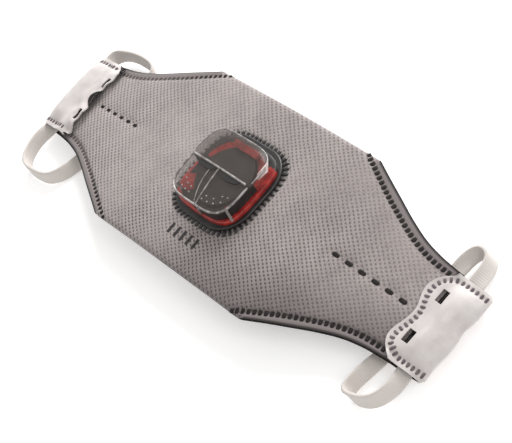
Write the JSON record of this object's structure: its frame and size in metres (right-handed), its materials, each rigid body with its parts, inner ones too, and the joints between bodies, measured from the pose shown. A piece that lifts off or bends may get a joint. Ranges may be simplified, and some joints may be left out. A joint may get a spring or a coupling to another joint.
{
  "type": "fold-flat half-mask respirator",
  "caption": "Fold-flat painter's respirator mask, grey three-panel body with welded seams, white strap tabs, elastic head straps and a red exhalation valve under a clear cover.",
  "frame": {"origin": "under the middle of the mask body, on the surface it lies on", "axes": "+X along the long axis towards the right tab, +Y up the face towards the nose side, +Z out of the front face, valve up"},
  "size_m": [0.2356, 0.0752, 0.0271],
  "materials": {
    "grey_nonwoven": "point-bonded nonwoven",
    "carbon_felt": "matt",
    "white_web": "matt nonwoven",
    "white_tab": "smooth laminate",
    "elastic": "flat woven elastic",
    "dark_plastic": "gloss",
    "red_plastic": "gloss",
    "flap_rubber": "satin silicone",
    "clear_plastic": "clear gloss",
    "clip_metal": "soft annealed",
    "foam": "open-cell foam"
  },
  "bodies": {
    "front_panel": {"front_cover_web": "grey_nonwoven", "front_carbon_felt": "carbon_felt", "front_filter_web": "white_web", "front_lining_web": "white_web", "right_tab": "white_tab", "left_tab": "white_tab", "head_strap_upper": "elastic", "head_strap_lower": "elastic", "valve_flange": "dark_plastic", "valve_backing_ring": "dark_plastic", "valve_seat": "red_plastic", "flap_clamp": "dark_plastic", "valve_cover": "clear_plastic"},
    "upper_panel": {"upper_cover_web": "grey_nonwoven", "upper_filter_web": "white_web", "upper_lining_web": "white_web", "nose_clip": "clip_metal", "nose_foam": "foam"},
    "lower_panel": {"lower_cover_web": "grey_nonwoven", "lower_filter_web": "white_web", "lower_lining_web": "white_web"},
    "flap": {"valve_flap": "flap_rubber"}
  },
  "joints": [
    {"name": "upper_panel_fold", "type": "hinge", "parent": "front_panel", "child": "upper_panel", "pos_m": [0, 0.0376, 0.0135], "axis": [1, 0, 0], "range_deg": [0, 60]},
    {"name": "lower_panel_fold", "type": "hinge", "parent": "front_panel", "child": "lower_panel", "pos_m": [0, -0.0376, 0.0135], "axis": [-1, 0, 0], "range_deg": [0, 60]},
    {"name": "flap_bend", "type": "hinge", "parent": "front_panel", "child": "flap", "pos_m": [0.001, 0.0125, 0.02067], "axis": [-1, 0, 0], "range_deg": [0, 7]}
  ]
}
